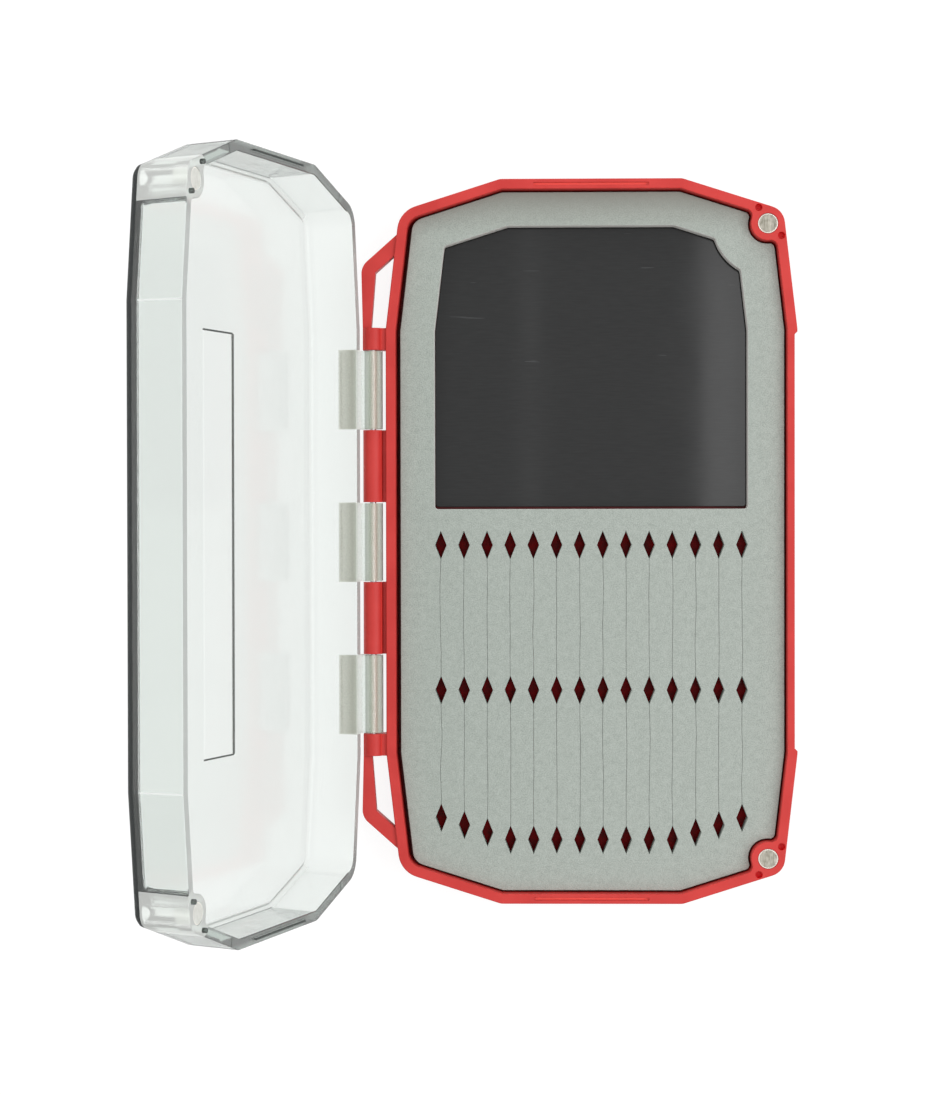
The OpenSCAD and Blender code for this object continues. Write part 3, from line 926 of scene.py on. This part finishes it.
def column_hole(column, diamonds, width, amount):
    """One closed line round a column's diamonds and the slits that join them, top one first."""
    x = sum(p.x for p in diamonds[0]) / 4
    tops = [max(p.y for p in d) for d in diamonds]
    bottoms = [min(p.y for p in d) for d in diamonds]
    wides = [(min(p.x for p in d), max(p.x for p in d)) for d in diamonds]
    left = [Vector((x, tops[0]))]
    right = []
    for k, (top, bottom, (x_low, x_high)) in enumerate(zip(tops, bottoms, wides)):
        middle = (top + bottom) / 2
        tip = width / (x_high - x_low) * (top - bottom) / 2
        left.append(Vector((x_low, middle)))
        right.append(Vector((x_high, middle)))
        if k + 1 < len(diamonds):
            down, up = slit_sides(column, x, bottom + tip, tops[k + 1] - tip, width, amount)
            left += down
            right += reversed(up)
    return left + [Vector((x, bottoms[-1]))] + list(reversed(right))


def filled_slab(name, outlines, low, high, rounding):
    """A slab between two heights with holes through it and rounded edges, as a mesh piece."""
    curve = bpy.data.curves.new(name, "CURVE")
    curve.dimensions = "2D"
    curve.fill_mode = "BOTH"
    curve.extrude = (high - low) / 2 - rounding
    curve.bevel_depth = rounding
    curve.bevel_resolution = 3
    curve.offset = -rounding
    for points in outlines:
        spline = curve.splines.new("POLY")
        spline.points.add(len(points) - 1)
        for at, point in zip(spline.points, points):
            at.co = (point.x, point.y, 0, 1)
        spline.use_cyclic_u = True
    shape = bpy.data.objects.new(name, curve)
    bpy.context.scene.collection.objects.link(shape)
    mesh = bpy.data.meshes.new_from_object(shape)
    bpy.data.objects.remove(shape)
    bpy.data.curves.remove(curve)
    mesh.transform(Matrix.Translation((0, 0, (low + high) / 2)))
    mesh.shade_smooth()
    mesh.set_sharp_from_angle(angle=radians(CUT_EDGE))
    return new_piece(name, mesh)


# Operators


class FLYBOX_OT_base(bpy.types.Operator):
    """Dress the red base tray with its hinge knuckles and lanyard loops"""

    bl_idname = "fly_box.base"
    bl_label = "Base tray"

    def execute(self, context):
        looks = context.scene.fly_box_looks
        piece = moulded("base_shell", "base_tray", MOULDED_EDGE)
        even_shading(piece)
        material = red_plastic(tuple(looks.tray_colour), looks.edge_radius)
        place(piece, material, "base", "base_plastic", "base_shell")
        return {"FINISHED"}


class FLYBOX_OT_lid(bpy.types.Operator):
    """Dress the clear lid with its hinge knuckles and magnet bosses"""

    bl_idname = "fly_box.lid"
    bl_label = "Clear lid"

    def execute(self, context):
        looks = context.scene.fly_box_looks
        piece = moulded("lid_shell", "clear_lid", MOULDED_EDGE)
        even_shading(piece)
        material = clear_plastic(
            tuple(looks.lid_tint), looks.lid_haze, looks.lid_milk, looks.knuckle_milk
        )
        place(piece, material, "lid", "clear_plastic", "lid_shell")
        return {"FINISHED"}


class FLYBOX_OT_pin(bpy.types.Operator):
    """Dress the steel hinge pin"""

    bl_idname = "fly_box.pin"
    bl_label = "Hinge pin"

    def execute(self, context):
        piece = moulded("hinge_pin", "steel_pin", TURNED_EDGE)
        place(piece, drawn_steel(), "base", "pin_steel", "hinge_pin")
        return {"FINISHED"}


class FLYBOX_OT_foam(bpy.types.Operator):
    """Cut the foam pad with its window, its diamond holes and its wandering slits"""

    bl_idname = "fly_box.foam"
    bl_label = "Foam pad"

    def execute(self, context):
        looks = context.scene.fly_box_looks
        low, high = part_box("foam_pad")
        loops = face_loops("foam_pad", low[2])
        diamonds = sorted((d for d in loops if len(d) == 4), key=lambda d: min(p.x for p in d))
        outlines = [points for points in loops if len(points) > 4]
        if len(outlines) != 2 or len(diamonds) % 3:
            raise RuntimeError("the foam's outline and diamonds weren't found")
        for k in range(len(diamonds) // 3):
            column = sorted(diamonds[3 * k : 3 * k + 3], key=lambda d: -min(p.y for p in d))
            outlines.append(column_hole(k, column, looks.slit_width, looks.slit_wander))
        piece = filled_slab("cut_foam", outlines, low[2], high[2], looks.foam_round)
        place(piece, closed_cell_foam(tuple(looks.foam_colour)), "base", "foam", "foam_pad")
        return {"FINISHED"}


class FLYBOX_OT_films(bpy.types.Operator):
    """Dress the adhesive films under the foam and under the sheet"""

    bl_idname = "fly_box.films"
    bl_label = "Adhesive films"

    def execute(self, context):
        material = adhesive_film()
        for node in ("foam_film", "sheet_film"):
            piece = moulded(node, node + "_glued", MOULDED_EDGE)
            place(piece, material, "base", "adhesive_film", node)
        return {"FINISHED"}


class FLYBOX_OT_sheet(bpy.types.Operator):
    """Dress the magnetic sheet that lies in the foam's window"""

    bl_idname = "fly_box.sheet"
    bl_label = "Magnetic sheet"

    def execute(self, context):
        looks = context.scene.fly_box_looks
        piece = moulded("magnetic_sheet", "rolled_sheet", MOULDED_EDGE)
        round_edges(piece, looks.disc_edge)
        material = magnet_sheet(tuple(looks.sheet_colour), looks.sheet_sheen)
        place(piece, material, "base", "magnetic_rubber", "magnetic_sheet")
        return {"FINISHED"}


class FLYBOX_OT_magnets(bpy.types.Operator):
    """Dress the four disc magnets"""

    bl_idname = "fly_box.magnets"
    bl_label = "Magnets"

    def execute(self, context):
        looks = context.scene.fly_box_looks
        for body, plate in PLATES.items():
            material = nickel(looks.magnet_highlight, *plate)
            for end in ("upper", "lower"):
                node = f"{end}_{body}_magnet"
                piece = moulded(node, node + "_disc", TURNED_EDGE)
                round_edges(piece, looks.disc_edge)
                place(piece, material, body, "nickel_plate", node)
        return {"FINISHED"}


class FLYBOX_OT_studio(bpy.types.Operator):
    """Set up the white floor, the softboxes, the room light and the camera"""

    bl_idname = "fly_box.studio"
    bl_label = "Studio"

    def execute(self, context):
        looks = context.scene.fly_box_looks
        self.lay_floor()
        self.light_room(looks.daylight)
        for name, place, size, share in SOFTBOXES:
            self.hang_softbox(name, place, size, looks.softbox * share)
        self.set_camera()
        context.scene.view_settings.view_transform = "Standard"
        return {"FINISHED"}

    def lay_floor(self):
        """A floor that looks white, also in glass, and still takes the box's shadow."""
        mesh = bpy.data.meshes.new("floor")
        corners = [
            (x * FLOOR_HALF, y * FLOOR_HALF, -FLOOR_DROP)
            for x, y in ((-1, -1), (1, -1), (1, 1), (-1, 1))
        ]
        mesh.from_pydata(corners, [], [(0, 1, 2, 3)])
        material, tree = new_material("white_floor")
        tooth = grain(tree, 4 * MM, 2)
        paint = ramp(tree, tooth, [(0.3, (0.82, 0.82, 0.82)), (0.7, (0.84, 0.84, 0.84))])
        matt = add(tree, "ShaderNodeBsdfDiffuse", {"Color": paint})
        glow = add(tree, "ShaderNodeEmission", {"Color": (1, 1, 1, 1), "Strength": 1.1})
        bounced = add(tree, "ShaderNodeLightPath").outputs["Is Diffuse Ray"]
        lit = number(tree, "MULTIPLY", number(tree, "SUBTRACT", 1.0, bounced), 0.8)
        finish_material(
            tree, blended(tree, lit, matt.outputs["BSDF"], glow.outputs["Emission"])
        )
        mesh.materials.append(material)
        new_piece("floor", mesh)

    def light_room(self, strength):
        """Even light, stronger from above, that the camera itself sees as plain white."""
        world = bpy.data.worlds.new("room")
        world.use_nodes = True
        tree = world.node_tree
        tree.nodes.clear()
        height = parts(tree, add(tree, "ShaderNodeTexCoord").outputs["Generated"])["Z"]
        shade = ramp(
            tree,
            height,
            [(0.0, (0.7, 0.7, 0.7)), (0.35, (0.9, 0.9, 0.9)), (0.8, (1.25, 1.25, 1.25))],
        )
        room = add(tree, "ShaderNodeBackground", {"Color": shade, "Strength": strength})
        white = add(tree, "ShaderNodeBackground", {"Color": (1, 1, 1, 1), "Strength": 1.0})
        seen = add(tree, "ShaderNodeLightPath").outputs["Is Camera Ray"]
        both = blended(tree, seen, room.outputs["Background"], white.outputs["Background"])
        add(tree, "ShaderNodeOutputWorld", {"Surface": both})
        bpy.context.scene.world = world

    def hang_softbox(self, name, place, size, power):
        """A softbox that faces the middle of the floor, with its length along Y."""
        light = bpy.data.lights.new(name, "AREA")
        light.shape = "RECTANGLE"
        light.size, light.size_y = size
        light.energy = power
        lamp = bpy.data.objects.new(name, light)
        lamp.visible_camera = False
        back = Vector(place).normalized()
        side = Vector((0, 1, 0)).cross(back).normalized()
        turn = Matrix((side, back.cross(side), back)).transposed()
        lamp.matrix_world = Matrix.LocRotScale(Vector(place), turn, None)
        bpy.context.scene.collection.objects.link(lamp)

    def set_camera(self):
        """The camera at the photograph's viewing angle."""
        data = bpy.data.cameras.new("camera")
        data.sensor_fit = "HORIZONTAL"
        data.sensor_width = SENSOR_WIDTH
        data.lens = CAMERA_LENS
        camera = bpy.data.objects.new("camera", data)
        tilt = Matrix.Identity(3)
        for axis, degrees in CAMERA_TURNS:
            tilt = tilt @ Matrix.Rotation(radians(degrees), 3, axis)
        camera.matrix_world = Matrix.LocRotScale(Vector(CAMERA_PLACE), tilt.transposed(), None)
        bpy.context.scene.collection.objects.link(camera)
        bpy.context.scene.camera = camera


class FLYBOX_PT_panel(bpy.types.Panel):
    """Buttons and settings of the fly box"""

    bl_idname = "FLYBOX_PT_panel"
    bl_label = "Fly box"
    bl_space_type = "VIEW_3D"
    bl_region_type = "UI"
    bl_category = "Fly box"

    def draw(self, context):
        looks = context.scene.fly_box_looks
        for name in FlyBoxLooks.__annotations__:
            self.layout.prop(looks, name)
        for operator in STEPS:
            self.layout.operator(operator.bl_idname)


# The operators in the order in which main calls them
STEPS = (
    FLYBOX_OT_base,
    FLYBOX_OT_lid,
    FLYBOX_OT_pin,
    FLYBOX_OT_foam,
    FLYBOX_OT_films,
    FLYBOX_OT_sheet,
    FLYBOX_OT_magnets,
    FLYBOX_OT_studio,
)


def register():
    """Adds the settings, the buttons and the panel to Blender."""
    for cls in (FlyBoxLooks, *STEPS, FLYBOX_PT_panel):
        bpy.utils.register_class(cls)
    bpy.types.Scene.fly_box_looks = bpy.props.PointerProperty(type=FlyBoxLooks)


def unregister():
    """Takes them away again."""
    del bpy.types.Scene.fly_box_looks
    for cls in reversed((FlyBoxLooks, *STEPS, FLYBOX_PT_panel)):
        bpy.utils.unregister_class(cls)


def main():
    """Dresses the whole box."""
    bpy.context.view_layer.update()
    register()
    for operator in STEPS:
        group, name = operator.bl_idname.split(".")
        getattr(getattr(bpy.ops, group), name)()


if __name__ == "__main__":
    main()
